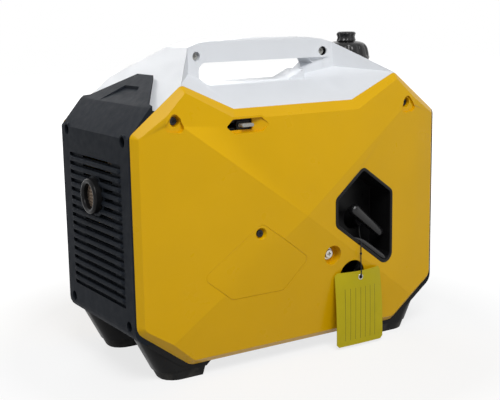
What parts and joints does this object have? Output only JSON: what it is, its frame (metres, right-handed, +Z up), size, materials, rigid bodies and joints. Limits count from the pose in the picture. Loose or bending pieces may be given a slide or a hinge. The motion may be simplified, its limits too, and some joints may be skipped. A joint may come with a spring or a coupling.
{
  "type": "portable inverter generator",
  "caption": "Suitcase-style portable generator: faceted side panels, carrying handle, recoil starter, louvred exhaust end and a socket panel, with its engine set inside.",
  "frame": {"origin": "on the floor under the middle of the body", "axes": "+X towards the control panel, -Y towards the side with the starter grip, +Z up"},
  "size_m": [0.524, 0.2708, 0.4429],
  "materials": {
    "yellow_shell": "moulded polypropylene with a fine satin grain",
    "yellow_hatch": "same yellow moulding, more matt",
    "white_cover": "off-white satin moulding",
    "slate_cover": "dark grey textured moulding",
    "black_plastic": "black textured moulding",
    "black_rubber": "matt",
    "panel_plastic": "dark grey",
    "screw_steel": "zinc plated",
    "cast_aluminium": "die cast",
    "steel": "machined",
    "hot_steel": "heat stained",
    "brass": "plain",
    "copper": "enamelled winding wire",
    "rope": "braided polyester",
    "tag_card": "yellow plastic card",
    "string": "dark elastic string",
    "foam": "open foam",
    "ceramic": "glazed",
    "lamp_lens": "tinted lens",
    "lever_grey": "light grey moulding"
  },
  "bodies": {
    "root": {"base_tray": "black_plastic", "rubber_feet": "black_rubber", "near_side_panel": "yellow_shell", "far_side_panel": "yellow_shell", "top_cover": "white_cover", "exhaust_end_cover": "slate_cover", "control_end_cover": "slate_cover", "exhaust_ring": "black_plastic", "spark_arrestor": "steel", "side_panel_screws": "screw_steel", "end_cover_screws": "screw_steel", "handle_screws": "screw_steel", "starter_recess": "black_plastic", "rope_guide": "steel", "starter_rope": "rope", "recoil_housing": "black_plastic", "recoil_spring": "steel", "choke_bezel": "black_plastic", "fuel_tank": "black_plastic", "fuel_strainer": "steel", "engine_mounts": "black_rubber", "crankcase": "cast_aluminium", "cylinder_block": "cast_aluminium", "cylinder_head": "cast_aluminium", "spark_plug": "ceramic", "plug_cap": "black_rubber", "stator": "copper", "fan_shroud": "black_plastic", "ignition_coil": "copper", "carburettor": "cast_aluminium", "air_cleaner_case": "black_plastic", "air_filter": "foam", "muffler": "hot_steel", "exhaust_pipe": "hot_steel", "inverter_module": "cast_aluminium", "control_panel": "panel_plastic", "ac_outlets": "black_plastic", "dc_socket": "black_plastic", "earth_terminal": "brass", "indicator_lamps": "lamp_lens"},
    "starter_grip": {"starter_grip": "black_plastic", "hang_tag": "tag_card", "tag_string": "string"},
    "recoil_pulley": {"recoil_pulley": "black_plastic"},
    "crank": {"crankshaft": "steel", "rotor": "steel", "cooling_fan": "black_plastic"},
    "choke_lever": {"choke_lever": "lever_grey"},
    "fuel_cap": {"fuel_cap": "black_plastic"},
    "cap_vent_knob": {"cap_vent_knob": "black_plastic"},
    "maintenance_cover": {"maintenance_cover": "yellow_hatch", "maintenance_screw": "screw_steel"},
    "oil_dipstick": {"oil_dipstick": "black_plastic"},
    "engine_switch": {"engine_switch": "black_plastic"},
    "economy_switch": {"economy_switch": "black_plastic"},
    "ac_breaker": {"ac_breaker": "black_plastic"},
    "dc_breaker": {"dc_breaker": "black_plastic"}
  },
  "joints": [
    {"name": "starter_pull", "type": "slide", "parent": "root", "child": "starter_grip", "axis": [0, -1, 0], "range_m": [0, 0.6], "stiffness_N_per_m": 20, "springref_m": -0.1, "deforming": ["starter_rope"]},
    {"name": "recoil_spin", "type": "hinge", "parent": "root", "child": "recoil_pulley", "pos_m": [0.1245, 0, 0.129], "axis": [1, 0, 0], "range_deg": [0, 740]},
    {"name": "crank_spin", "type": "hinge", "parent": "root", "child": "crank", "pos_m": [0.09, 0, 0.129], "axis": [1, 0, 0], "continuous": true},
    {"name": "choke_slide", "type": "slide", "parent": "root", "child": "choke_lever", "axis": [-1, 0, 0], "range_m": [0, 0.02]},
    {"name": "fuel_cap_turn", "type": "hinge", "parent": "root", "child": "fuel_cap", "pos_m": [0.185, 0.02, 0.41], "axis": [0, 0, 1], "range_deg": [0, 90]},
    {"name": "vent_knob_turn", "type": "hinge", "parent": "fuel_cap", "child": "cap_vent_knob", "pos_m": [0.185, 0.02, 0.44], "axis": [0, 0, 1], "range_deg": [0, 90]},
    {"name": "maintenance_cover_lift", "type": "slide", "parent": "root", "child": "maintenance_cover", "axis": [0, -1, 0], "range_m": [0, 0.08]},
    {"name": "dipstick_turn", "type": "hinge", "parent": "root", "child": "oil_dipstick", "pos_m": [-0.038, -0.08, 0.106], "axis": [0, 1, 0], "range_deg": [0, 360]},
    {"name": "engine_switch_turn", "type": "hinge", "parent": "root", "child": "engine_switch", "pos_m": [0.249, -0.052, 0.268], "axis": [1, 0, 0], "range_deg": [0, 90]},
    {"name": "economy_rock", "type": "hinge", "parent": "root", "child": "economy_switch", "pos_m": [0.245, -0.012, 0.246], "axis": [0, 1, 0], "range_deg": [-8, 8]},
    {"name": "ac_breaker_press", "type": "slide", "parent": "root", "child": "ac_breaker", "axis": [-1, 0, 0], "range_m": [0, 0.003], "stiffness_N_per_m": 400},
    {"name": "dc_breaker_press", "type": "slide", "parent": "root", "child": "dc_breaker", "axis": [-1, 0, 0], "range_m": [0, 0.003], "stiffness_N_per_m": 400}
  ],
  "couplings": [
    {"joint": "recoil_spin", "follows": "starter_pull", "rad_per_m": 21.277}
  ]
}
